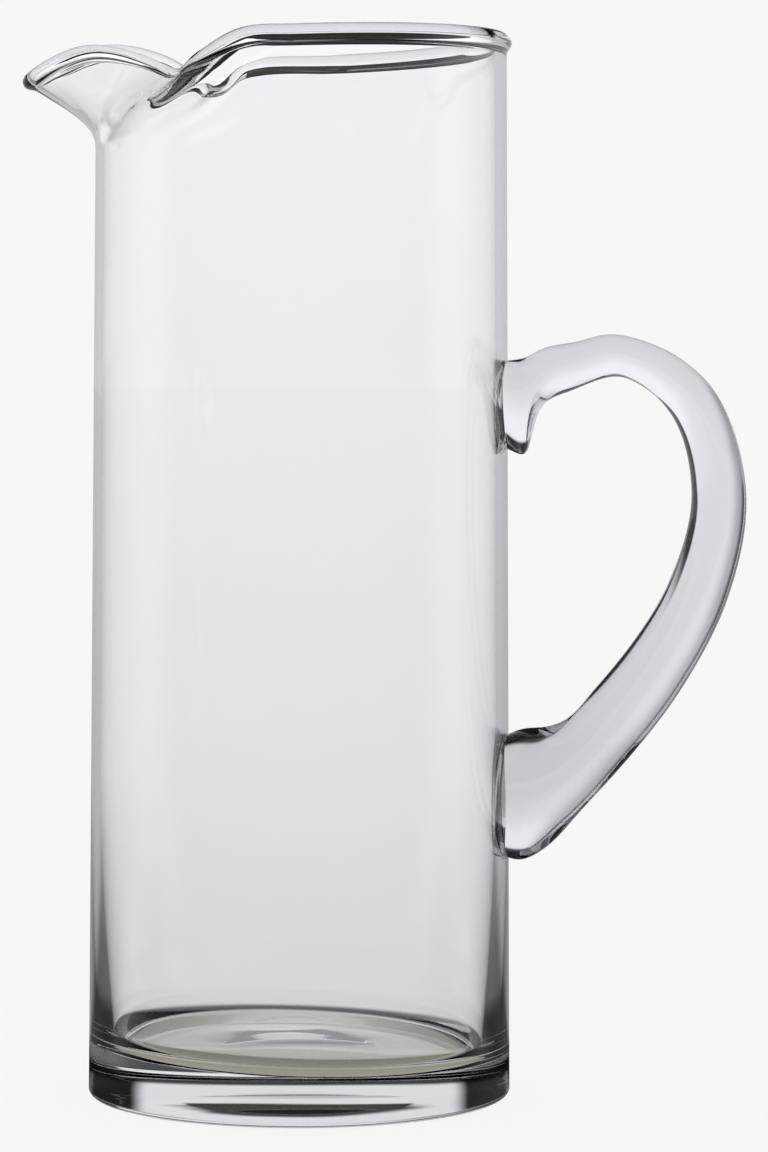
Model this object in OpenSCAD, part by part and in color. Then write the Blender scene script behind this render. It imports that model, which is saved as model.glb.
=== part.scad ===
// Water carafe: a tall blown glass jug with a pulled spout and an applied loop handle.
// Lengths in mm, +Z up. The spout points to -X, the handle to +X, and the table is z = 0.

/* [Body] */
// Height from the table to the highest point of the rim
jug_height = 254.5; // [240:0.5:275]
// Outside diameter of the wall at the table
base_diameter = 101.6; // [97:0.1:106]
// Outside diameter of the wall at the rim, without the bead
top_diameter = 97.9; // [95:0.1:103]
// Thickness of the blown wall
wall_thick = 2.4; // [2:0.1:3]
// Thickness of the heavy base
base_thick = 10.5; // [8:0.5:15]
// Radius of the rounded corner between the floor and the wall inside
floor_round = 6; // [3:0.5:7]
// Extra thickness of the wall where it rises from the base
heel_thick = 3; // [1:0.1:3.5]
// Height of the wall in which that extra thickness fades
heel_height = 70; // [40:1:90]
// Radius of the rounded edge that the jug stands on
foot_round = 1.5; // [1:0.1:3]
// Diameter of the shallow hollow under the base
hollow_diameter = 40; // [36:1:60]
// Rise of that hollow at its middle
hollow_rise = 0.6; // [0.4:0.1:1.5]

/* [Rim and spout] */
// Thickness of the fire-polished bead around the mouth
rim_bead = 4.8; // [4.2:0.1:5.6]
// Thickness of the bead along the lip of the spout
lip_bead = 3.9; // [3.4:0.1:4.6]
// Fall of the rim from the handle side to the spout side
rim_fall = 3.4; // [0:0.1:5]
// Height of the wall under the rim that the pull bends
bend_height = 24.4; // [22:0.1:30]
// How far the tip of the spout is pulled out of the wall
spout_reach = 18.1; // [14:0.1:20]
// How far the throat is pinched towards the middle of the spout
throat_pinch = 10; // [7:0.5:11]
// How far the rim can dip at the throat
throat_drop = 8; // [5:0.5:9]

/* [Handle] */
// Height of the lowest point of the handle above the table
handle_foot = 57; // [45:0.5:65]
// Height of the handle from its lowest to its highest point
handle_span = 126; // [110:1:138]
// How far the handle stands out of the wall
handle_reach = 56.5; // [48:0.5:64]
// Thickness of the handle across, where it is gripped
handle_width = 12.6; // [10:0.2:15]
// Distance from the wall in which the handle's ends bend around it
seal_reach = 8; // [5:0.5:12]

/* [Hidden] */
base_r = base_diameter / 2;
top_r = top_diameter / 2;
handle_wall_r = (base_r + top_r) / 2;
hollow_r = hollow_diameter / 2;
rim_line = jug_height - rim_bead / 2 - rim_fall / 2;
bend_z = rim_line - bend_height;
heel_z = base_thick + floor_round;

// Rim from the -Y side over the spout to the +Y side, slightly uneven as it was pulled by hand:
// angle from the spout, then shares of the reach outwards, of the pinch along Y, of the drop upwards
// and of the way from the rim bead to the lip bead
rim_shares = [
    [-96, 0, 0, 0, 0],
    [-80, -0.05, 0.1, 0, 0.2],
    [-64, -0.15, 0.5, -0.5, 0.9],
    [-48, -0.3, 1, -0.8, 1.5],
    [-40, -0.2, 1, -0.4, 1.4],
    [-24, 0.25, 0.4, 0.05, 1.1],
    [-8, 0.8, 0, -0.45, 1],
    [0, 1, 0, -0.7, 1],
    [8, 0.8, 0, -0.4, 1],
    [24, 0.3, -0.35, 0.35, 1],
    [40, -0.15, -0.85, -0.1, 1.3],
    [48, -0.2, -0.9, -0.65, 1.5],
    [56, -0.05, -0.75, -0.7, 1.4],
    [64, 0.15, -0.5, -0.5, 1],
    [68, 0.2, -0.35, -0.15, 0.8],
    [72, 0.2, -0.25, -0.05, 0.6],
    [96, 0, 0, 0, 0]
];
// Width of the pulled stretch at the straight wall, as a share of its width at the rim
narrow_share = 0.45;
// Share of the pull that still runs on at the rim, and how far the pulled wall lies down there
slant_share = 1.15;
lay_share = 0.2;
// Place on the bent wall, as a share of its height, where the bead begins to swell
swell_share = 0.9;

// Handle from its upper to its lower end: outer edge out and up, inner edge out and up, width,
// as shares of the reach, the span and the width
handle_shares = [
    [-0.04, 0.95, -0.04, 0.79, 1.25],
    [0.01, 0.95, 0.01, 0.78, 1.45],
    [0.07, 0.955, 0.075, 0.77, 1.35],
    [0.11, 0.965, 0.1, 0.81, 1.2],
    [0.16, 0.975, 0.135, 0.86, 1.05],
    [0.28, 0.985, 0.28, 0.895, 1],
    [0.45, 1, 0.445, 0.92, 0.95],
    [0.645, 0.975, 0.555, 0.905, 0.95],
    [0.82, 0.92, 0.67, 0.86, 0.95],
    [1, 0.725, 0.775, 0.705, 1],
    [0.925, 0.495, 0.68, 0.53, 1.05],
    [0.745, 0.335, 0.535, 0.42, 1.1],
    [0.55, 0.215, 0.375, 0.33, 1.2],
    [0.325, 0.1, 0.25, 0.27, 1.4],
    [0.17, 0.025, 0.16, 0.255, 1.5],
    [0.055, 0, 0.055, 0.25, 1.6],
    [-0.04, 0.015, -0.04, 0.23, 1.5]
];
// Narrowing of the curled tail under the upper end, and the way along the handle in which it fades
tail_share = 0.55;
tail_way_share = 0.1;

// Heights of the bent wall and of the heel where the mesh has a row
bend_shares = [0, 0.12, 0.24, 0.36, 0.48, 0.6, 0.71, 0.81, 0.9, 0.94, 0.97, 1];
// Angle between two columns of the rim mesh, and small steps that measure a slope
column_angle = 4;
nudge_angle = 0.5;
nudge_share = 0.01;
// Steps around the bead, around and along the handle, around a corner, across the hollow and up the heel
bead_steps = 8;
ring_steps = 24;
handle_steps = 60;
corner_steps = 6;
hollow_steps = 4;
heel_steps = 6;
turn_steps = 120;
// How far the rim ring is let into the straight wall, and how far it stands proud of it there
ring_overlap = wall_thick / 2;
ring_proud = wall_thick / 24;

function unit(v) = v / norm(v);
function smooth(s) = s <= 0 ? 0 : s >= 1 ? 1 : s * s * (3 - 2 * s);

// Slope of a table at a row, from the rows beside it; a row begins with its place
function table_slope(rows, i) =
    let (
        last = len(rows) - 1,
        a = max(i - 1, 0),
        b = min(i + 1, last),
        before = i - a == 0 ? 0 : rows[i][0] - rows[a][0],
        after = b - i == 0 ? 0 : rows[b][0] - rows[i][0]
    )
    before == 0 ? (rows[b] - rows[i]) / after
    : after == 0 ? (rows[i] - rows[a]) / before
    : ((rows[i] - rows[a]) * after / before + (rows[b] - rows[i]) * before / after) / (before + after);

// Smooth curve through the rows of a table, at a place within it
function through(rows, x) =
    let (
        i = max([for (k = [0 : len(rows) - 2]) if (k == 0 || rows[k][0] <= x) k]),
        step = rows[i + 1][0] - rows[i][0],
        f = (x - rows[i][0]) / step,
        go = 3 * pow(f, 2) - 2 * pow(f, 3),
        leave = pow(f, 3) - 2 * pow(f, 2) + f,
        arrive = pow(f, 3) - pow(f, 2)
    )
    rows[i] * (1 - go) + rows[i + 1] * go
    + step * (table_slope(rows, i) * leave + table_slope(rows, i + 1) * arrive);

// Outside radius of the straight wall at a height
function wall_r(z) = base_r + (top_r - base_r) * z / jug_height;
// Inside radius of the wall at a height, with the heel
function bore_r(z) = wall_r(z) - wall_thick - heel_thick * pow(max(0, 1 - (z - heel_z) / heel_height), 2);

// Row of the rim table at an angle from the spout, and the pull and the bead there
function rim_row(angle) =
    abs(angle) >= rim_shares[len(rim_shares) - 1][0] ? rim_shares[0] : through(rim_shares, angle);
function rim_pull(angle) =
    let (s = rim_row(angle))
    [-spout_reach * s[1], throat_pinch * s[2], throat_drop * s[3]];
function bead_r(angle) = (rim_bead + (lip_bead - rim_bead) * rim_row(angle)[4]) / 2;

// Middle of the wall at an angle from the spout, from the straight wall (0) to the rim (1)
function middle(angle, s) =
    let (
        rim = rim_pull(angle),
        pull = rim_pull(angle / (narrow_share + (1 - narrow_share) * max(0, s))),
        rise = bend_height - rim_fall / 2 * cos(angle) + rim[2],
        lay = lay_share * max(0, -rim[0]),
        go = 3 * pow(s, 2) - 2 * pow(s, 3),
        leave = pow(s, 3) - 2 * pow(s, 2) + s,
        arrive = pow(s, 3) - pow(s, 2),
        bent_z = bend_z + rise * go + bend_height * leave + (rise - lay) * arrive,
        z = s < 0 ? bend_z + s * bend_height : bent_z,
        out = s < 0 ? 0 : go + slant_share * arrive,
        r = wall_r(z) - wall_thick / 2
    )
    [-r * cos(angle) + pull[0] * out, r * sin(angle) + pull[1] * out, z];
function along(angle, s) = unit(middle(angle, s + nudge_share) - middle(angle, s - nudge_share));
function outward(angle, s) =
    unit(cross(along(angle, s), middle(angle + nudge_angle, s) - middle(angle - nudge_angle, s)));
function half_wall(angle, s) =
    wall_thick / 2
    + (s <= 0 ? ring_proud : 0)
    + (bead_r(angle) - wall_thick / 2) * smooth((s - swell_share) / (1 - swell_share));

// One upright section of the rim ring: up the outside, around the bead, down the inside
function ring_section(angle) =
    let (
        rows = concat([-ring_overlap / bend_height], bend_shares),
        last = len(rows) - 1,
        top = middle(angle, 1),
        n = outward(angle, 1),
        m = along(angle, 1),
        r = bead_r(angle)
    )
    concat(
        [for (s = rows) middle(angle, s) + outward(angle, s) * half_wall(angle, s)],
        [for (k = [1 : bead_steps - 1])
            let (a = 180 * k / bead_steps)
            top + n * r * cos(a) + m * r * sin(a)],
        [for (k = [last : -1 : 0])
            middle(angle, rows[k]) - outward(angle, rows[k]) * half_wall(angle, rows[k])]
    );

// Triangles between neighbouring loops of points; a closed grid also joins its last loop to its first
function grid_faces(loops, loop, closed) = [
    for (j = [0 : loops - (closed ? 1 : 2)], i = [0 : loop - 1], half = [0, 1])
        let (
            next = (j + 1) % loops,
            step = (i + 1) % loop,
            a = j * loop + i,
            b = j * loop + step,
            c = next * loop + i,
            d = next * loop + step
        )
        half == 0 ? [a, b, d] : [a, d, c]
];

module rim_ring() {
    columns = 360 / column_angle;
    sections = [for (j = [0 : columns - 1]) ring_section(180 - j * column_angle)];
    polyhedron(
        points = [for (s = sections, p = s) p],
        faces = grid_faces(columns, len(sections[0]), true)
    );
}

// Half section of the base and the straight wall
module body_section() {
    corner_r = bore_r(heel_z) - floor_round;
    foot_r = wall_r(foot_round) - foot_round;
    polygon(concat(
        [for (k = [0 : hollow_steps])
            let (s = k / hollow_steps)
            [hollow_r * s, hollow_rise * (1 - pow(s, 2))]],
        [for (k = [0 : corner_steps])
            let (a = 90 * k / corner_steps)
            [foot_r + foot_round * sin(a), foot_round * (1 - cos(a))]],
        [[wall_r(bend_z), bend_z], [bore_r(bend_z), bend_z]],
        [for (k = [heel_steps : -1 : 1])
            let (z = heel_z + heel_height * k / heel_steps)
            [bore_r(z), z]],
        [for (k = [0 : corner_steps])
            let (a = 90 * k / corner_steps)
            [corner_r + floor_round * cos(a), heel_z - floor_round * sin(a)]],
        [[0, base_thick]]
    ));
}

module vessel() {
    color([0.86, 0.91, 0.9, 0.4])
        union() {
            rotate_extrude($fn = turn_steps) body_section();
            rim_ring();
        }
}

// Edges of the handle in its own plane
function outer_edge(s) = [handle_wall_r + handle_reach * s[0], handle_foot + handle_span * s[1]];
function inner_edge(s) = [handle_wall_r + handle_reach * s[2], handle_foot + handle_span * s[3]];
function handle_middle(s) = (outer_edge(s) + inner_edge(s)) / 2;
function handle_way(i) =
    i == 0 ? 0 : handle_way(i - 1) + norm(handle_middle(handle_shares[i]) - handle_middle(handle_shares[i - 1]));
handle_rows = [for (i = [0 : len(handle_shares) - 1]) concat([handle_way(i)], handle_shares[i])];
handle_length = handle_rows[len(handle_rows) - 1][0];

// One oval section of the handle, at a way along it
function handle_section(way) =
    let (
        row = through(handle_rows, way),
        s = [row[1], row[2], row[3], row[4]],
        outer = outer_edge(s),
        inner = inner_edge(s),
        half = handle_width * row[5] / 2,
        narrow = tail_share * smooth(1 - way / (tail_way_share * handle_length)),
        hug = smooth(1 - (handle_middle(s)[0] - handle_wall_r) / seal_reach)
    )
    [for (k = [0 : ring_steps - 1])
        let (
            a = 360 * k / ring_steps,
            p = (outer + inner) / 2 + (outer - inner) / 2 * cos(a),
            y = half * sin(a) * (1 - narrow * (1 - cos(a)) / 2),
            bend = handle_wall_r - sqrt(pow(handle_wall_r, 2) - pow(y, 2))
        )
        [p[0] - hug * bend, y, p[1]]];

module handle() {
    sections = [for (j = [0 : handle_steps]) handle_section(handle_length * j / handle_steps)];
    color([0.84, 0.9, 0.89, 0.45])
        difference() {
            polyhedron(
                points = [for (s = sections, p = s) p],
                faces = concat(
                    grid_faces(handle_steps + 1, ring_steps, false),
                    [[for (k = [ring_steps - 1 : -1 : 0]) k]],
                    [[for (k = [0 : ring_steps - 1]) handle_steps * ring_steps + k]]
                )
            );
            rotate_extrude($fn = turn_steps)
                polygon([[0, 0], [base_r, 0], [wall_r(bend_z), bend_z], [0, bend_z]]);
        }
}

vessel();
handle();
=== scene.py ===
"""Clear glass water jug: a tall vessel with a pulled spout, and a loop handle sealed to its side."""

import math

import bpy
import numpy as np
from mathutils import Matrix, Vector


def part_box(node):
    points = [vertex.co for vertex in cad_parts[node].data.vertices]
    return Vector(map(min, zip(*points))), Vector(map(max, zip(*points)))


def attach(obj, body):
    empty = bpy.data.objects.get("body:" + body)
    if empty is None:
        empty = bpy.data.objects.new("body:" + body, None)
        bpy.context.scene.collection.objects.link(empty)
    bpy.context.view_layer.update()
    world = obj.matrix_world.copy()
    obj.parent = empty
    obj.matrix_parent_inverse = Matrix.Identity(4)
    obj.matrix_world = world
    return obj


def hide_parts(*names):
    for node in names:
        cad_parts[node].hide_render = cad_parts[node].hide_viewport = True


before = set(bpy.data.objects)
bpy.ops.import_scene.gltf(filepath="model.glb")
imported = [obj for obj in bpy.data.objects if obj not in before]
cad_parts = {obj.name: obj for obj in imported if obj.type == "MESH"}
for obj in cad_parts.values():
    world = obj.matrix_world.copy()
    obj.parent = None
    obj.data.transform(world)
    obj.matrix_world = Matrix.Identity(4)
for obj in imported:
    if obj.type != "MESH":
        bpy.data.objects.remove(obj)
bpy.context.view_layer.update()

MM = 0.001

# Vessel sizes
JUG_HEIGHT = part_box("vessel")[1].z
BASE_R = 50.8 * MM
TOP_R = 48.95 * MM
WALL_THICK = 2.4 * MM
BORE_SHIFT = 0.35 * MM
BASE_THICK = 10.5 * MM
FLOOR_ROUND = 6 * MM
HEEL_THICK = 3 * MM
HEEL_HEIGHT = 70 * MM
HEEL_Z = BASE_THICK + FLOOR_ROUND
FOOT_ROUND = 1.5 * MM
HOLLOW_R = 20 * MM
HOLLOW_RISE = 0.6 * MM

# Unevenness of the blown base: rise of its floor along +X and +Y, and height of the waves under it,
# each with its radians per base radius along X and Y and its phase
FLOOR_SLOPE = (-1 / 30, -1 / 150)
FOOT_WAVE = 0.04 * MM
FOOT_WAVES = ((9, 4, 0), (5, -13, 1), (3, 17, 2), (-11, 23, 0))

# Rim and spout sizes
RIM_BEAD = 4.8 * MM
LIP_BEAD = 3.9 * MM
RIM_FALL = 3.4 * MM
BEND_HEIGHT = 24.4 * MM
SPOUT_REACH = 18.1 * MM
THROAT_PINCH = 10 * MM
THROAT_DROP = 8 * MM
NARROW_SHARE = 0.45
SLANT_SHARE = 1.15
LAY_SHARE = 0.2
SWELL_SHARE = 0.9
RIM_LINE = JUG_HEIGHT - RIM_BEAD / 2 - RIM_FALL / 2
BEND_Z = RIM_LINE - BEND_HEIGHT

# Rim from the -Y side over the spout to the +Y side: angle from the spout, then shares of the
# reach outwards, of the pinch along Y, of the drop upwards and of the way to the lip bead
RIM_SHARES = np.array([
    [-96, 0, 0, 0, 0],
    [-80, -0.05, 0.1, 0, 0.2],
    [-64, -0.15, 0.5, -0.5, 0.9],
    [-48, -0.3, 1, -0.8, 1.5],
    [-40, -0.2, 1, -0.4, 1.4],
    [-24, 0.25, 0.4, 0.05, 1.1],
    [-8, 0.8, 0, -0.45, 1],
    [0, 1, 0, -0.7, 1],
    [8, 0.8, 0, -0.4, 1],
    [24, 0.3, -0.35, 0.35, 1],
    [40, -0.15, -0.85, -0.1, 1.3],
    [48, -0.2, -0.9, -0.65, 1.5],
    [56, -0.05, -0.75, -0.7, 1.4],
    [64, 0.15, -0.5, -0.5, 1],
    [68, 0.2, -0.35, -0.15, 0.8],
    [72, 0.2, -0.25, -0.05, 0.6],
    [96, 0, 0, 0, 0],
])

# Handle sizes
HANDLE_FOOT = 57 * MM
HANDLE_SPAN = 126 * MM
HANDLE_REACH = 56.5 * MM
HANDLE_WIDTH = 12.6 * MM
SEAL_REACH = 8 * MM
SEAL_SINK = 0.4 * MM
HANDLE_WALL_R = (BASE_R + TOP_R) / 2
TAIL_SHARE = 0.55
TAIL_WAY_SHARE = 0.1

# Handle from its upper to its lower end: outer edge out and up, inner edge out and up, width
HANDLE_SHARES = np.array([
    [-0.04, 0.95, -0.04, 0.79, 1.25],
    [0.01, 0.95, 0.01, 0.78, 1.45],
    [0.07, 0.955, 0.075, 0.77, 1.35],
    [0.11, 0.965, 0.1, 0.81, 1.2],
    [0.16, 0.975, 0.135, 0.86, 1.05],
    [0.28, 0.985, 0.28, 0.895, 1],
    [0.45, 1, 0.445, 0.92, 0.95],
    [0.645, 0.975, 0.555, 0.905, 0.95],
    [0.82, 0.92, 0.67, 0.86, 0.95],
    [1, 0.725, 0.775, 0.705, 1],
    [0.925, 0.495, 0.68, 0.53, 1.05],
    [0.745, 0.335, 0.535, 0.42, 1.1],
    [0.55, 0.215, 0.375, 0.33, 1.2],
    [0.325, 0.1, 0.25, 0.27, 1.4],
    [0.17, 0.025, 0.16, 0.255, 1.5],
    [0.055, 0, 0.055, 0.25, 1.6],
    [-0.04, 0.015, -0.04, 0.23, 1.5],
])

# Grid sizes: points along each stretch of the two skins and of the floor's edge
COLUMNS = 440
HOLLOW_POINTS = 15
CORNER_POINTS = 13
WALL_POINTS = 22
BEND_POINTS = 24
THROAT_POINTS = 22
THROAT_FROM_SHARE = 0.76
BEAD_POINTS = 30
BORE_POINTS = 14
HEEL_POINTS = 20
FLOOR_POINTS = 40
HANDLE_POINTS = 300
RING_POINTS = 96
CAP_POINTS = 6
SEARCH_POINTS = 4000
SOFTEN_REACH = 2
STAGE_POINTS = 96

# Camera of the photograph, and its directions over the table
IMAGE_HIGH = 1152
FOCAL_PIXELS = 4163.6
SENSOR = 36
CLIP_END = 100
VIEW_TURN = math.radians(7.5)
VIEW_ROLL = 0.0033
CAMERA_OUT = 1.0
CAMERA_UP = 174.4 * MM
AIM_RIGHT = 20.08 * MM
AIM_UP = 124.8 * MM
SIGHT = (-math.sin(VIEW_TURN), math.cos(VIEW_TURN), 0)
RIGHT = (math.cos(VIEW_TURN), math.sin(VIEW_TURN), 0)
UP = (0, 0, 1)

# Glass
GLASS_IOR = 1.5
GLASS_BUMP = 0.004 * MM
STREAK_STRETCH = (1, 1, 0.08)
STREAK_DETAIL = 1.0
WAVE_DETAIL = 2.0
CLEAR_TINT = (1, 1, 1)
CLOUD_TINT = (0.985, 0.985, 0.99)
CLOUD_WAVES = (0.5, 0.8)
CLOUD_ROUGHNESS = 0.01
VESSEL_STREAKS, VESSEL_WAVES = 60, 30
VESSEL_ABSORB = (0.2, 0.2, 0.2)
VESSEL_DENSITY = 3
HANDLE_STREAKS, HANDLE_WAVES = 40, 25
HANDLE_ABSORB = (0.2, 0.18, 0.25)
HANDLE_DENSITY = 20

# Studio tones, linear, and shares of the backdrop's tone
BACKDROP = 0.93
GLASS_BACKDROP = (0.975, 0.965, 1.01)
FLOOR_WHITE = 1
# Painted shadow on the floor under the jug, and a painted pool of light in it, shown through the glass
UNDER_SHADOW_TONE = (0.45, 0.43, 0.35)
LIGHT_SPOT_TONE = (0.9, 0.89, 0.85)
RIM_CARD_TONE = 0.02
CEILING_SHARE = 0.12
SKY_SHARE = 1.18
CARD_SHARE = 0.05
SOFT_CARD_SHARE = 0.55
# Shares of the painted shade on the floor around the foot and on paths through one piece of glass
FOOT_SHADE_SHARE = 0.2
SLAB_SHADE_SHARE = 0.1
SHADOW_SHARE = 0.05

# Shares of light on paths with one mirror, from the camera's side and from behind the jug, and on
# paths with more mirrors
ROOM_FRONT, ROOM_BACK = 0.3, 0.62
FAR_FRONT, FAR_BACK = 0.3, 0.64
FLOOR_FRONT, FLOOR_BACK = 0.12, 0.6
NEAR_FRONT, NEAR_BACK = 0.02, 0.6
NEAR_CARD_SHARE = 0.3
MIRROR_TOP_SHARE = 0.06
MIRROR_CARD_SHARE = 0.02
MIRROR_SIDE_SHARE = 0.7
ROOM_DEEP, FLOOR_DEEP = 0.8, 0.3

# Glass skins that a path passes in one piece, and one more
ONE_PIECE = (2, 3)


def sines(*degrees):
    """Heights on the unit sphere of some angles above the horizon."""
    return [math.sin(math.radians(d)) for d in degrees]


def turns(*degrees):
    """Turns from the line of sight, positive to the right, in radians."""
    return [math.radians(d) for d in degrees]


# Heights of directions in the studio
CEILING = sines(36, 46)
SKY = sines(0, 18)
CARD_TOP = sines(35, 42)
MIRROR_RISE = sines(4.6, 7)
MIRROR_TOP = sines(11, 13)

# Turns of directions in the studio, and how far they point along the line of sight
LEFT_CARD_FAR = turns(-86, -80)
LEFT_CARD_NEAR = turns(-53, -25)
RIGHT_CARD_NEAR = turns(43, 50)
RIGHT_CARD_FAR = turns(80, 86)
SOFT_CARD_TURN = turns(-30, -8)
MIRROR_CARD = turns(33, 41)
MIRROR_CARD_END = turns(70, 86)
NEAR_CARD_IN = turns(32, 50)
NEAR_CARD_OUT = turns(66, 88)
FRONT_SIGHT = (-0.3, 0.1)

# Distances from the jug's axis on the floor, in metres
FLOOR_R = 40.0
# Painted shade of the studio's cards on the floor, seen through the glass: distances over which it
# comes in
LEFT_CARD_FLOOR = (0.5, 1.3)
RIGHT_CARD_FLOOR = (0.25, 0.6)
SOFT_CARD_FLOOR = (0.12, 0.3)
MID_FLOOR = (0.15, 0.8)
FAR_FLOOR = (0.8, 4)
UNDER_MIRROR = (0.05, 0.056)
UNDER_DEEP = (0.054, 0.06)
# Painted shadow under the jug: where it gives way to the backdrop's colour
UNDER_SHADE = (0.046, 0.053)
# Painted pool of light under the jug: how far behind the axis it lies, and its soft edge
LIGHT_SPOT_BEHIND = 0.03
LIGHT_SPOT_R = (0.008, 0.036)
# Painted shade beside the foot: where it starts, where the narrow one ends and where the wider one
# ends
FOOT_EDGE = (0.049, 0.052)
FOOT_SHADE = (0.054, 0.06)
SLAB_SHADE_FLOOR = (0.085, 0.11)
SHADOW_REACH = (0.1, 0.6)

# Floor's height below the jug, and its painted shade by distance: amount and power of the shade, and
# its limit
FLOOR_DROP = 0.2 * MM
FLOOR_SHADE = 0.078
FLOOR_FADE = -0.38
FLOOR_DARKEST = 0.68

# Card above the rim, in metres behind the axis, to the right of it and above the table
RIM_CARD_BEHIND = 0.1
RIM_CARD_LEFT = -0.075
RIM_CARD_RIGHT = 0.054
RIM_CARD_LOW = 0.263
RIM_CARD_HIGH = 0.4
LIP_CARD_RIGHT = -0.022
LIP_CARD_HIGH = 0.28


def smooth(s):
    """Ease from 0 to 1: three s squared less two s cubed, held at both ends."""
    s = np.clip(s, 0, 1)
    return s * s * (3 - 2 * s)


def cubic(f):
    """Weights in a cubic from 0 to 1: of its end, of its first slope and of its last slope."""
    return 3 * f ** 2 - 2 * f ** 3, f ** 3 - 2 * f ** 2 + f, f ** 3 - f ** 2


def through(places, rows, at):
    """Smooth curve through table rows: cubics that meet each row with the slope of the parabola
    through it and its two neighbours."""
    step = np.diff(places)[:, None]
    rise = np.diff(rows, axis=0) / step
    slope = np.empty_like(rows)
    slope[0], slope[-1] = rise[0], rise[-1]
    slope[1:-1] = (rise[:-1] * step[1:] + rise[1:] * step[:-1]) / (step[:-1] + step[1:])
    i = np.clip(np.searchsorted(places, at, side="right") - 1, 0, len(places) - 2)
    go, leave, arrive = cubic(((at - places[i]) / step[i, 0])[:, None])
    bend = slope[i] * leave + slope[i + 1] * arrive
    return rows[i] * (1 - go) + rows[i + 1] * go + step[i] * bend


def soften(values, closed):
    """Weighted mean of each row with its neighbours under a bell curve, around or along a line."""
    ends = 3 * SOFTEN_REACH
    weights = np.exp(-0.5 * (np.arange(-ends, ends + 1) / SOFTEN_REACH) ** 2)
    beyond = {"mode": "wrap"} if closed else {"mode": "reflect", "reflect_type": "odd"}
    padded = np.pad(values, ((ends, ends), (0, 0)), **beyond)
    return sum(w * padded[k:k + len(values)] for k, w in enumerate(weights)) / weights.sum()


def unit(v):
    """Vectors of length one."""
    return v / np.linalg.norm(v, axis=-1, keepdims=True)


def add_piece(name, points, faces):
    """An object in the scene with a mesh of points and faces."""
    mesh = bpy.data.meshes.new(name)
    mesh.from_pydata(points.tolist(), [], faces)
    piece = bpy.data.objects.new(name, mesh)
    bpy.context.scene.collection.objects.link(piece)
    return piece


def grid_piece(name, rows, first_pole, last_pole):
    """Closed skin of a grid of points (row, column): quads between neighbouring rows, columns
    joined around, and a fan of triangles from each pole."""
    count, columns = rows.shape[:2]
    points = np.vstack([rows.reshape(-1, 3), first_pole, last_pole])
    row, column = np.meshgrid(np.arange(count - 1), np.arange(columns), indexing="ij")
    beside = (column + 1) % columns
    quads = np.stack([
        row * columns + column, (row + 1) * columns + column,
        (row + 1) * columns + beside, row * columns + beside,
    ], -1).reshape(-1, 4)
    ring = np.arange(columns)
    after = (ring + 1) % columns
    last = (count - 1) * columns
    fans = np.vstack([
        np.stack([ring, after, np.full(columns, count * columns)], -1),
        np.stack([last + after, last + ring, np.full(columns, count * columns + 1)], -1),
    ])
    piece = add_piece(name, points, quads.tolist() + fans.tolist())
    piece.data.polygons.foreach_set("use_smooth", np.ones(len(piece.data.polygons), bool))
    piece.data.update()
    return piece


def wall_r(z):
    """Outside radius of the straight wall: it tapers evenly from the table to the rim."""
    return BASE_R + (TOP_R - BASE_R) * z / JUG_HEIGHT


def bore_r(z):
    """Inside radius of the wall, which thickens as a parabola over the heel towards the floor."""
    return wall_r(z) - WALL_THICK - HEEL_THICK * np.clip(1 - (z - HEEL_Z) / HEEL_HEIGHT, 0, 1) ** 2


def turned(angle, radius, z):
    """Points at angles from the spout, which is -X, at a radius and a height."""
    angle, radius, z = np.broadcast_arrays(angle, radius, z)
    return np.stack([-radius * np.cos(angle), radius * np.sin(angle), z], -1)


def rim_rows(angle):
    """Rows of the rim table at angles from the spout, softened; nothing is pulled outside it."""
    edge = RIM_SHARES[-1, 0]
    degrees = np.clip(np.degrees(angle), -edge, edge)
    return soften(through(RIM_SHARES[:, 0], RIM_SHARES[:, 1:], degrees), True)


def bent_wall(angle, s):
    """Middle of the bent wall: each column is a cubic that leaves the straight wall upright and
    reaches the pulled rim with the slant of the pull, which narrows downwards."""
    shares = rim_rows(angle)
    widths = NARROW_SHARE + (1 - NARROW_SHARE) * s
    pulls = np.stack([rim_rows(angle / w)[:, :2] for w in widths]) * [-SPOUT_REACH, THROAT_PINCH]
    pull_out, pull_side = pulls.transpose(2, 0, 1)
    bead = (RIM_BEAD + (LIP_BEAD - RIM_BEAD) * shares[:, 3]) / 2
    rise = BEND_HEIGHT - RIM_FALL / 2 * np.cos(angle) + THROAT_DROP * shares[:, 2]
    lay = LAY_SHARE * SPOUT_REACH * np.clip(shares[:, 0], 0, None)
    s = s[:, None]
    go, leave, arrive = cubic(s)
    z = BEND_Z + rise * go + BEND_HEIGHT * leave + (rise - lay) * arrive
    out = go + SLANT_SHARE * arrive
    middle = turned(angle, wall_r(z) - WALL_THICK / 2, z)
    middle[..., 0] += pull_out * out
    middle[..., 1] += pull_side * out
    swell = smooth((s - SWELL_SHARE) / (1 - SWELL_SHARE))
    return middle, bead, swell


def bend_rows(angle):
    """Outside, bead and inside of the bent wall: both skins lie half a wall beside its middle and
    swell to the bead, and a half circle joins them."""
    s = np.concatenate([
        np.linspace(0, THROAT_FROM_SHARE, BEND_POINTS, endpoint=False),
        np.linspace(THROAT_FROM_SHARE, 1, THROAT_POINTS),
    ])
    middle, bead, swell = bent_wall(angle, s)
    along = unit(np.gradient(middle, s, axis=0))
    around = np.roll(middle, -1, axis=1) - np.roll(middle, 1, axis=1)
    outward = unit(np.cross(along, around))
    half = WALL_THICK / 2 + (bead - WALL_THICK / 2) * swell
    uneven = BORE_SHIFT * np.cos(angle) * (1 - swell)
    outside = middle + outward * half[..., None]
    inside = middle - outward * (half - uneven)[..., None]
    arc = np.linspace(0, math.pi, BEAD_POINTS)[1:-1, None, None]
    cap = middle[-1] + bead[:, None] * (outward[-1] * np.cos(arc) + along[-1] * np.sin(arc))
    return outside, cap, inside


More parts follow.
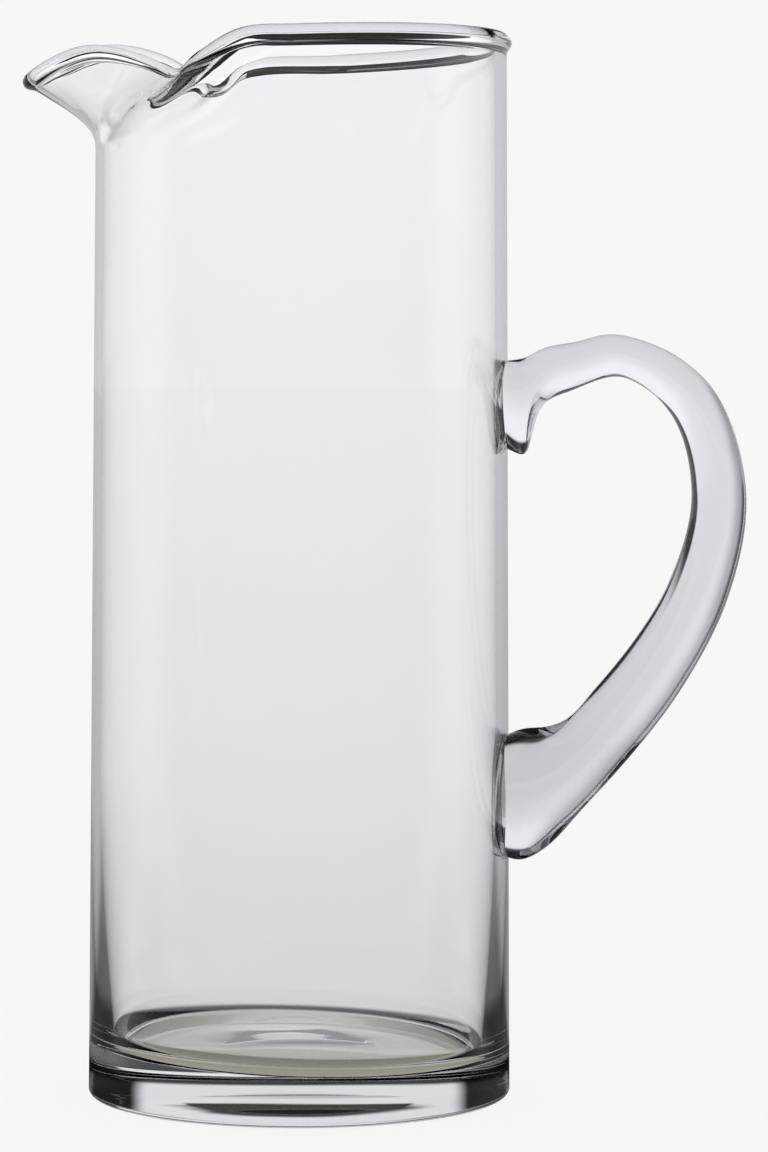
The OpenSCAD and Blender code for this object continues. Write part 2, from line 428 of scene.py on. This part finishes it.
def foot_wave(points):
    """Uneven skin under the base, from 0 to 1: a mean of slanted sine waves over the plan."""
    x, y = points[..., 0] / BASE_R, points[..., 1] / BASE_R
    waves = [np.sin(along_x * x + along_y * y + phase) for along_x, along_y, phase in FOOT_WAVES]
    return (1 + sum(waves) / len(waves)) / 2


def outer_rows(angle):
    """Rows under the base and up the straight wall: a hollow that rises as a parabola, a flat ring,
    a quarter circle at the foot and the taper, with faint waves where it is low."""
    hollow = np.linspace(0, 1, HOLLOW_POINTS)[1:]
    corner = np.linspace(0, math.pi / 2, CORNER_POINTS)
    foot_r = wall_r(FOOT_ROUND) - FOOT_ROUND
    up = np.linspace(FOOT_ROUND, BEND_Z, WALL_POINTS)[1:-1]
    radius = np.concatenate([HOLLOW_R * hollow, foot_r + FOOT_ROUND * np.sin(corner), wall_r(up)])
    z = np.concatenate([HOLLOW_RISE * (1 - hollow ** 2), FOOT_ROUND * (1 - np.cos(corner)), up])
    rows = turned(angle, radius[:, None], z[:, None])
    rows[..., 2] += FOOT_WAVE * foot_wave(rows) * smooth(1 - rows[..., 2] / (2 * FOOT_ROUND))
    return rows


def inner_rows(angle):
    """Rows down the bore and the heel, around a quarter circle and over the floor to its middle. The
    bore lies a little towards the spout, and the floor slopes, less so up the heel."""
    corner = np.linspace(0, math.pi / 2, CORNER_POINTS)
    corner_r = bore_r(HEEL_Z) - FLOOR_ROUND
    heel_top = HEEL_Z + HEEL_HEIGHT
    down = np.concatenate([
        np.linspace(BEND_Z, heel_top, BORE_POINTS)[1:],
        np.linspace(heel_top, HEEL_Z, HEEL_POINTS)[1:-1],
    ])
    flat = np.linspace(corner_r, 0, FLOOR_POINTS)[1:-1]
    radius = np.concatenate([bore_r(down), corner_r + FLOOR_ROUND * np.cos(corner), flat])[:, None]
    radius = radius + BORE_SHIFT * np.cos(angle) * radius / BASE_R
    z = np.concatenate([down, HEEL_Z - FLOOR_ROUND * np.sin(corner), np.full_like(flat, BASE_THICK)])
    rows = turned(angle, radius, z[:, None])
    slope = rows[..., 0] * FLOOR_SLOPE[0] + rows[..., 1] * FLOOR_SLOPE[1]
    rows[..., 2] += slope * smooth(1 - (rows[..., 2] - HEEL_Z) / HEEL_HEIGHT)
    return rows


def vessel_rows():
    """Grid of the vessel, from the middle under the base, out over the hollow and the foot, up
    the outside, around the bead, down the inside and over the floor to its middle."""
    angle = np.linspace(-math.pi, math.pi, COLUMNS, endpoint=False)
    outside, cap, inside = bend_rows(angle)
    return np.concatenate([outer_rows(angle), outside, cap, inside[::-1], inner_rows(angle)])


def handle_rows():
    """Grid of the handle: oval sections between its outer and inner edge, in the upright plane
    through the spout, whose ends bend around the wall and lie just inside its skin."""
    edges = HANDLE_SHARES[:, :4] * ([HANDLE_REACH, HANDLE_SPAN] * 2) + [HANDLE_WALL_R, HANDLE_FOOT] * 2
    steps = np.linalg.norm(np.diff((edges[:, :2] + edges[:, 2:]) / 2, axis=0), axis=1)
    places = np.concatenate([[0], np.cumsum(steps)])
    table = np.hstack([edges, HANDLE_SHARES[:, 4:] * HANDLE_WIDTH / 2])
    fine = np.linspace(0, places[-1], SEARCH_POINTS)
    reach = through(places, table, fine)[:, [0, 2]].mean(1)
    shown = fine[reach > HANDLE_WALL_R - SEAL_SINK]
    way = np.linspace(shown[0], shown[-1], HANDLE_POINTS)
    row = soften(through(places, table, way), False)
    narrow = TAIL_SHARE * smooth(1 - way / (TAIL_WAY_SHARE * places[-1]))
    cap = np.linspace(0, 1, CAP_POINTS)[1:-1]
    take = np.pad(np.arange(len(way)), len(cap), mode="edge")
    scale = np.concatenate([cap, np.ones(len(way)), cap[::-1]])[:, None]
    row, narrow = row[take], narrow[take][:, None]
    outer, inner = row[:, :2, None], row[:, 2:4, None]
    mid_x, mid_z = ((outer + inner) / 2).transpose(1, 0, 2)
    half_x, half_z = ((outer - inner) / 2).transpose(1, 0, 2)
    turn = np.linspace(0, 2 * math.pi, RING_POINTS, endpoint=False)
    x = mid_x + half_x * np.cos(turn) * scale
    z = mid_z + half_z * np.cos(turn) * scale
    y = row[:, 4:] * np.sin(turn) * scale * (1 - narrow * (1 - np.cos(turn)) / 2)
    hug = smooth(1 - (mid_x - HANDLE_WALL_R) / SEAL_REACH)
    x = x - hug * (HANDLE_WALL_R - np.sqrt(HANDLE_WALL_R ** 2 - y ** 2))
    poles = np.stack([mid_x[[0, -1], 0], np.zeros(2), mid_z[[0, -1], 0]], 1)
    return np.stack([x, y, z], -1), poles


def grey(tone):
    """Opaque colour with one tone in all channels."""
    return (tone, tone, tone, 1)


def empty_tree(block):
    """Node tree of a material or a world with nothing in it."""
    block.use_nodes = True
    block.node_tree.nodes.clear()
    return block.node_tree


def add_node(tree, kind, **values):
    """A node with some of its settings or plain inputs filled in."""
    node = tree.nodes.new(kind)
    for key, value in values.items():
        if key in node.inputs:
            node.inputs[key].default_value = value
        else:
            setattr(node, key, value)
    return node


def feed(tree, given, target):
    """Join an input to a socket, or give it a plain value."""
    if isinstance(given, bpy.types.NodeSocket):
        tree.links.new(given, target)
    else:
        target.default_value = given


def ramp(tree, value, low, high, to_low, to_high):
    """A smooth step of a value between two places, from one number or socket to another."""
    node = add_node(tree, "ShaderNodeMapRange", interpolation_type="SMOOTHSTEP")
    keys = ("Value", "From Min", "From Max", "To Min", "To Max")
    for key, given in zip(keys, (value, low, high, to_low, to_high)):
        feed(tree, given, node.inputs[key])
    return node.outputs["Result"]


def compute(tree, operation, *values):
    """Result of an operation on sockets and numbers."""
    node = add_node(tree, "ShaderNodeMath", operation=operation)
    for given, target in zip(values, node.inputs):
        feed(tree, given, target)
    return node.outputs[0]


def times(tree, a, b):
    """Product of two sockets, or of a socket and a number."""
    return compute(tree, "MULTIPLY", a, b)


def measure(tree, operation, vector, other=(0, 0, 0)):
    """A number worked out from a vector, alone or with a fixed one."""
    node = add_node(tree, "ShaderNodeVectorMath", operation=operation)
    tree.links.new(vector, node.inputs[0])
    node.inputs[1].default_value = other
    return node.outputs["Value"]


def blend(tree, share, first, second):
    """Colour between two colours or sockets by a share."""
    node = add_node(tree, "ShaderNodeMixRGB")
    for key, given in zip(("Fac", "Color1", "Color2"), (share, first, second)):
        feed(tree, given, node.inputs[key])
    return node.outputs["Color"]


def choose(tree, share, first, second):
    """Shader between two shaders by a share."""
    node = add_node(tree, "ShaderNodeMixShader")
    for given, target in zip((share, first, second), node.inputs):
        feed(tree, given, target)
    return node.outputs["Shader"]


def blown_skin():
    """Node group of hand-blown glass: faint upright streaks and soft waves as a height, and a tint
    and a roughness that change very slightly over the surface."""
    group = bpy.data.node_groups.new("blown skin", "ShaderNodeTree")
    for name in ("Streak Scale", "Wave Scale"):
        group.interface.new_socket(name=name, in_out="INPUT", socket_type="NodeSocketFloat")
    group.interface.new_socket(name="Tint", in_out="OUTPUT", socket_type="NodeSocketColor")
    for name in ("Roughness", "Height"):
        group.interface.new_socket(name=name, in_out="OUTPUT", socket_type="NodeSocketFloat")
    link = group.links.new
    given = add_node(group, "NodeGroupInput")
    result = add_node(group, "NodeGroupOutput")
    place = add_node(group, "ShaderNodeTexCoord")
    stretch = add_node(group, "ShaderNodeMapping", Scale=STREAK_STRETCH)
    streak = add_node(group, "ShaderNodeTexNoise", Detail=STREAK_DETAIL)
    wave = add_node(group, "ShaderNodeTexNoise", Detail=WAVE_DETAIL)
    link(place.outputs["Object"], stretch.inputs["Vector"])
    link(stretch.outputs["Vector"], streak.inputs["Vector"])
    link(place.outputs["Object"], wave.inputs["Vector"])
    link(given.outputs["Streak Scale"], streak.inputs["Scale"])
    link(given.outputs["Wave Scale"], wave.inputs["Scale"])
    waves = wave.outputs["Fac"]
    tint = blend(group, waves, (*CLEAR_TINT, 1), (*CLOUD_TINT, 1))
    link(tint, result.inputs["Tint"])
    link(ramp(group, waves, *CLOUD_WAVES, 0, CLOUD_ROUGHNESS), result.inputs["Roughness"])
    link(compute(group, "ADD", streak.outputs["Fac"], waves), result.inputs["Height"])
    return group


def glass(name, skin, streaks, waves, absorb, density):
    """Clear glass with a blown skin, and a faint tint where it is thick."""
    material = bpy.data.materials.new(name)
    tree = empty_tree(material)
    link = tree.links.new
    blown = add_node(tree, "ShaderNodeGroup", node_tree=skin)
    blown.inputs["Streak Scale"].default_value = streaks
    blown.inputs["Wave Scale"].default_value = waves
    bump = add_node(tree, "ShaderNodeBump", Strength=1.0, Distance=GLASS_BUMP)
    shader = add_node(tree, "ShaderNodeBsdfPrincipled", IOR=GLASS_IOR)
    shader.inputs["Transmission Weight"].default_value = 1
    body = add_node(tree, "ShaderNodeVolumeAbsorption", Color=(*absorb, 1), Density=density)
    out = add_node(tree, "ShaderNodeOutputMaterial")
    link(blown.outputs["Tint"], shader.inputs["Base Color"])
    link(blown.outputs["Roughness"], shader.inputs["Roughness"])
    link(blown.outputs["Height"], bump.inputs["Height"])
    link(bump.outputs["Normal"], shader.inputs["Normal"])
    link(shader.outputs["BSDF"], out.inputs["Surface"])
    link(body.outputs["Volume"], out.inputs["Volume"])
    return material


def vessel(skin):
    """The vessel replaces the faceted solid."""
    rows = vessel_rows()
    piece = grid_piece("vessel_glass", rows, rows[:1].mean(1), rows[-1:].mean(1))
    piece.data.materials.append(glass(
        "clear vessel glass", skin, VESSEL_STREAKS, VESSEL_WAVES, VESSEL_ABSORB, VESSEL_DENSITY))
    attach(piece, "root")
    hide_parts("vessel")


def handle(skin):
    """The handle replaces the faceted solid."""
    rows, poles = handle_rows()
    piece = grid_piece("handle_glass", rows, poles[:1], poles[1:])
    piece.data.materials.append(glass(
        "clear handle glass", skin, HANDLE_STREAKS, HANDLE_WAVES, HANDLE_ABSORB, HANDLE_DENSITY))
    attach(piece, "root")
    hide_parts("handle")


def around_view(tree, vector):
    """Turn of a direction from the photograph's line of sight, to the right in radians, and how
    far it points along that line."""
    sight = measure(tree, "DOT_PRODUCT", vector, SIGHT)
    right = measure(tree, "DOT_PRODUCT", vector, RIGHT)
    return compute(tree, "ARCTAN2", right, sight), sight


def band(tree, value, start, end):
    """How far a value lies in a band with soft edges: 0 outside it and 1 inside."""
    return times(tree, ramp(tree, value, *start, 0, 1), ramp(tree, value, *end, 1, 0))


def side_cards(tree, turn, left_share, right_share):
    """Share of light that two dark cards, left and right of the backdrop, leave at a turn, where each
    stands by its own share."""
    left = times(tree, band(tree, turn, LEFT_CARD_FAR, LEFT_CARD_NEAR), left_share)
    right = times(tree, band(tree, turn, RIGHT_CARD_NEAR, RIGHT_CARD_FAR), right_share)
    return ramp(tree, compute(tree, "ADD", left, right), 0, 1, 1, CARD_SHARE)


def one_piece(tree, path, share):
    """A share for paths that pass the skins of one piece of glass only; on others it is 1."""
    return ramp(tree, path.outputs["Transmission Depth"], *ONE_PIECE, share, 1)


def by_mirrors(tree, path, straight, once, more):
    """One share of light for paths that no glass skin mirrors, one for a single mirror and one for
    more."""
    count = path.outputs["Glossy Depth"]
    return ramp(tree, count, 1, 2, ramp(tree, count, 0, 1, straight, once), more)


def studio():
    """Pale backdrop all around. Only the glass shows a dark ceiling under which the backdrop gets
    paler upwards, dark cards and a half-dark one on paths through one piece, and on paths with a
    mirror a dimmer room with dark cards on both sides and a dark upper part."""
    world = bpy.data.worlds.new("studio")
    bpy.context.scene.world = world
    tree = empty_tree(world)
    path = add_node(tree, "ShaderNodeLightPath")
    place = add_node(tree, "ShaderNodeTexCoord")
    axes = add_node(tree, "ShaderNodeSeparateXYZ")
    tree.links.new(place.outputs["Generated"], axes.inputs["Vector"])
    turn, sight = around_view(tree, place.outputs["Generated"])
    height = axes.outputs["Z"]

    low = ramp(tree, height, *CARD_TOP, 1, 0)
    soft = ramp(tree, turn, *SOFT_CARD_TURN, SOFT_CARD_SHARE, 1)
    card = one_piece(tree, path, times(tree, side_cards(tree, turn, low, low), soft))
    sky = ramp(tree, height, *SKY, 1, SKY_SHARE)
    straight = times(tree, card, ramp(tree, height, *CEILING, sky, CEILING_SHARE))

    level = ramp(tree, sight, *FRONT_SIGHT, ROOM_FRONT, ROOM_BACK)
    aside = compute(tree, "ABSOLUTE", turn)
    side = ramp(tree, aside, *MIRROR_CARD_END, MIRROR_CARD_SHARE, MIRROR_SIDE_SHARE)
    wide = ramp(tree, aside, *MIRROR_CARD, 1, side)
    raised = times(tree, wide, ramp(tree, height, *MIRROR_TOP, 1, MIRROR_TOP_SHARE))
    mirrored = ramp(tree, height, *MIRROR_RISE, level, raised)

    shown = by_mirrors(tree, path, straight, mirrored, ROOM_DEEP)
    strength = ramp(tree, path.outputs["Is Diffuse Ray"], 0, 1, shown, 1)
    through_glass = add_node(tree, "ShaderNodeBackground", Color=(*GLASS_BACKDROP, 1))
    tree.links.new(strength, through_glass.inputs["Strength"])
    seen = add_node(tree, "ShaderNodeBackground", Color=grey(BACKDROP), Strength=1.0)
    both = choose(tree, path.outputs["Is Camera Ray"], through_glass.outputs[0], seen.outputs[0])
    out = add_node(tree, "ShaderNodeOutputWorld")
    tree.links.new(both, out.inputs["Surface"])


def floor_straight(tree, path, distance, turn):
    """Share of the floor's light on paths without a mirror: painted shade at the feet of the studio's
    side cards, on paths through one piece."""
    left = ramp(tree, distance, *LEFT_CARD_FLOOR, 0, 1)
    right = ramp(tree, distance, *RIGHT_CARD_FLOOR, 0, 1)
    near = ramp(tree, distance, *SOFT_CARD_FLOOR, 1, SOFT_CARD_SHARE)
    soft = ramp(tree, turn, *SOFT_CARD_TURN, near, 1)
    return one_piece(tree, path, times(tree, soft, side_cards(tree, turn, left, right)))


def floor_mirrored(tree, distance, turn, sight):
    """Share of the floor's light on paths with one mirror: full under the jug, then by distance, dim
    on the camera's side, with painted shade like a dark card on either side of the near floor behind
    the jug."""
    cover = band(tree, compute(tree, "ABSOLUTE", turn), NEAR_CARD_IN, NEAR_CARD_OUT)
    back = times(tree, ramp(tree, cover, 0, 1, 1, NEAR_CARD_SHARE), NEAR_BACK)
    near = ramp(tree, sight, *FRONT_SIGHT, NEAR_FRONT, back)
    mid = ramp(tree, sight, *FRONT_SIGHT, FLOOR_FRONT, FLOOR_BACK)
    far = ramp(tree, sight, *FRONT_SIGHT, FAR_FRONT, FAR_BACK)
    near = ramp(tree, distance, *UNDER_MIRROR, 1, near)
    return ramp(tree, distance, *FAR_FLOOR, ramp(tree, distance, *MID_FLOOR, near, mid), far)


def painted_floor_shade(tree, path, distance):
    """Painted shade of the floor through the glass: its tone less by a power of the distance towards
    the jug, down to a limit, with a narrow shade around the foot and a wider one on paths through one
    piece."""
    fade = times(tree, compute(tree, "POWER", distance, FLOOR_FADE), -FLOOR_SHADE)
    tone = compute(tree, "MAXIMUM", compute(tree, "ADD", fade, 1), FLOOR_DARKEST)
    foot = ramp(tree, distance, *FOOT_SHADE, FOOT_SHADE_SHARE, 1)
    slab = one_piece(tree, path, ramp(tree, distance, *SLAB_SHADE_FLOOR, SLAB_SHADE_SHARE, 1))
    return times(tree, tone, ramp(tree, distance, *FOOT_EDGE, 1, times(tree, foot, slab)))


def floor_colour(tree, place, distance):
    """Colour of the floor through the glass: the backdrop's, and under the jug a painted shadow of
    warm grey with a painted pale pool of light a little behind the axis."""
    patch = measure(tree, "DISTANCE", place, [LIGHT_SPOT_BEHIND * part for part in SIGHT])
    under = blend(tree, ramp(tree, patch, *LIGHT_SPOT_R, 0, 1), (*LIGHT_SPOT_TONE, 1), (*UNDER_SHADOW_TONE, 1))
    return blend(tree, ramp(tree, distance, *UNDER_SHADE, 0, 1), under, (*GLASS_BACKDROP, 1))


def floor():
    """Pale floor: to the camera the backdrop's tone with a faint shadow, and through the glass a
    glowing tone and colour of painted light and shade by distance and turn, in shares that follow the
    mirrors on a path."""
    angle = np.linspace(0, 2 * math.pi, STAGE_POINTS, endpoint=False)
    ring = np.stack([np.cos(angle), np.sin(angle), np.zeros_like(angle)], 1) * FLOOR_R
    piece = add_piece("floor", ring - [0, 0, FLOOR_DROP], [list(range(STAGE_POINTS))])
    material = bpy.data.materials.new("pale floor")
    tree = empty_tree(material)
    link = tree.links.new
    path = add_node(tree, "ShaderNodeLightPath")
    place = add_node(tree, "ShaderNodeTexCoord").outputs["Object"]
    distance = measure(tree, "LENGTH", place)
    heading = add_node(tree, "ShaderNodeVectorMath", operation="NORMALIZE")
    link(place, heading.inputs[0])
    turn, sight = around_view(tree, heading.outputs["Vector"])

    straight = floor_straight(tree, path, distance, turn)
    mirrored = floor_mirrored(tree, distance, turn, sight)
    deep = ramp(tree, distance, *UNDER_DEEP, ROOM_DEEP, FLOOR_DEEP)
    share = by_mirrors(tree, path, straight, mirrored, deep)
    # Through the glass the floor glows with its painted light and shade
    through_glass = add_node(tree, "ShaderNodeEmission")
    link(floor_colour(tree, place, distance), through_glass.inputs["Color"])
    link(times(tree, painted_floor_shade(tree, path, distance), share), through_glass.inputs["Strength"])

    seen = add_node(tree, "ShaderNodeEmission", Color=grey(BACKDROP), Strength=1.0)
    lit = add_node(tree, "ShaderNodeBsdfDiffuse", Color=grey(FLOOR_WHITE))
    shadow = ramp(tree, distance, *SHADOW_REACH, SHADOW_SHARE, 0)
    shaded = choose(tree, shadow, seen.outputs[0], lit.outputs[0])
    both = choose(tree, path.outputs["Is Camera Ray"], through_glass.outputs[0], shaded)
    out = add_node(tree, "ShaderNodeOutputMaterial")
    link(both, out.inputs["Surface"])
    piece.data.materials.append(material)


def rim_card():
    """Dark card that stands behind the rim, above what the camera sees through the glass: it
    draws the dark lines in the bead, as such a card does when glass is photographed."""
    outline = np.array([
        [RIM_CARD_LEFT, RIM_CARD_LOW],
        [RIM_CARD_RIGHT, RIM_CARD_LOW],
        [RIM_CARD_RIGHT, RIM_CARD_HIGH],
        [LIP_CARD_RIGHT, RIM_CARD_HIGH],
        [LIP_CARD_RIGHT, LIP_CARD_HIGH],
        [RIM_CARD_LEFT, LIP_CARD_HIGH],
    ])
    corners = np.array(SIGHT) * RIM_CARD_BEHIND + outline[:, :1] * RIGHT + outline[:, 1:] * UP
    piece = add_piece("rim card", corners, [list(range(len(corners)))])
    material = bpy.data.materials.new("dark card")
    tree = empty_tree(material)
    dark = add_node(tree, "ShaderNodeEmission", Color=grey(RIM_CARD_TONE), Strength=1.0)
    out = add_node(tree, "ShaderNodeOutputMaterial")
    tree.links.new(dark.outputs["Emission"], out.inputs["Surface"])
    piece.data.materials.append(material)
    # Hidden from the camera, from shadows and from diffuse light, the card is seen only in the glass:
    # it paints the dark lines in the bead.
    piece.visible_camera = False
    piece.visible_shadow = False
    piece.visible_diffuse = False


def camera():
    """Camera at the photograph's place, aimed beside the vessel's axis and rolled a little."""
    up = Vector(UP)
    place = -Vector(SIGHT) * CAMERA_OUT + up * CAMERA_UP
    forward = (Vector(RIGHT) * AIM_RIGHT + up * AIM_UP - place).normalized()
    level = forward.cross(up).normalized()
    upright = level.cross(forward)
    side = level * math.cos(VIEW_ROLL) + upright * math.sin(VIEW_ROLL)
    top = upright * math.cos(VIEW_ROLL) - level * math.sin(VIEW_ROLL)
    data = bpy.data.cameras.new("camera")
    data.sensor_fit = "VERTICAL"
    data.sensor_height = SENSOR
    data.lens = FOCAL_PIXELS / IMAGE_HIGH * SENSOR
    data.clip_end = CLIP_END
    view = bpy.data.objects.new("camera", data)
    turn = Matrix((side, top, -forward)).transposed().to_4x4()
    view.matrix_world = Matrix.Translation(place) @ turn
    bpy.context.scene.collection.objects.link(view)
    bpy.context.scene.camera = view


camera()
skin = blown_skin()
vessel(skin)
handle(skin)
floor()
rim_card()
studio()
bpy.context.scene.view_settings.view_transform = "Standard"

bpy.context.view_layer.update()
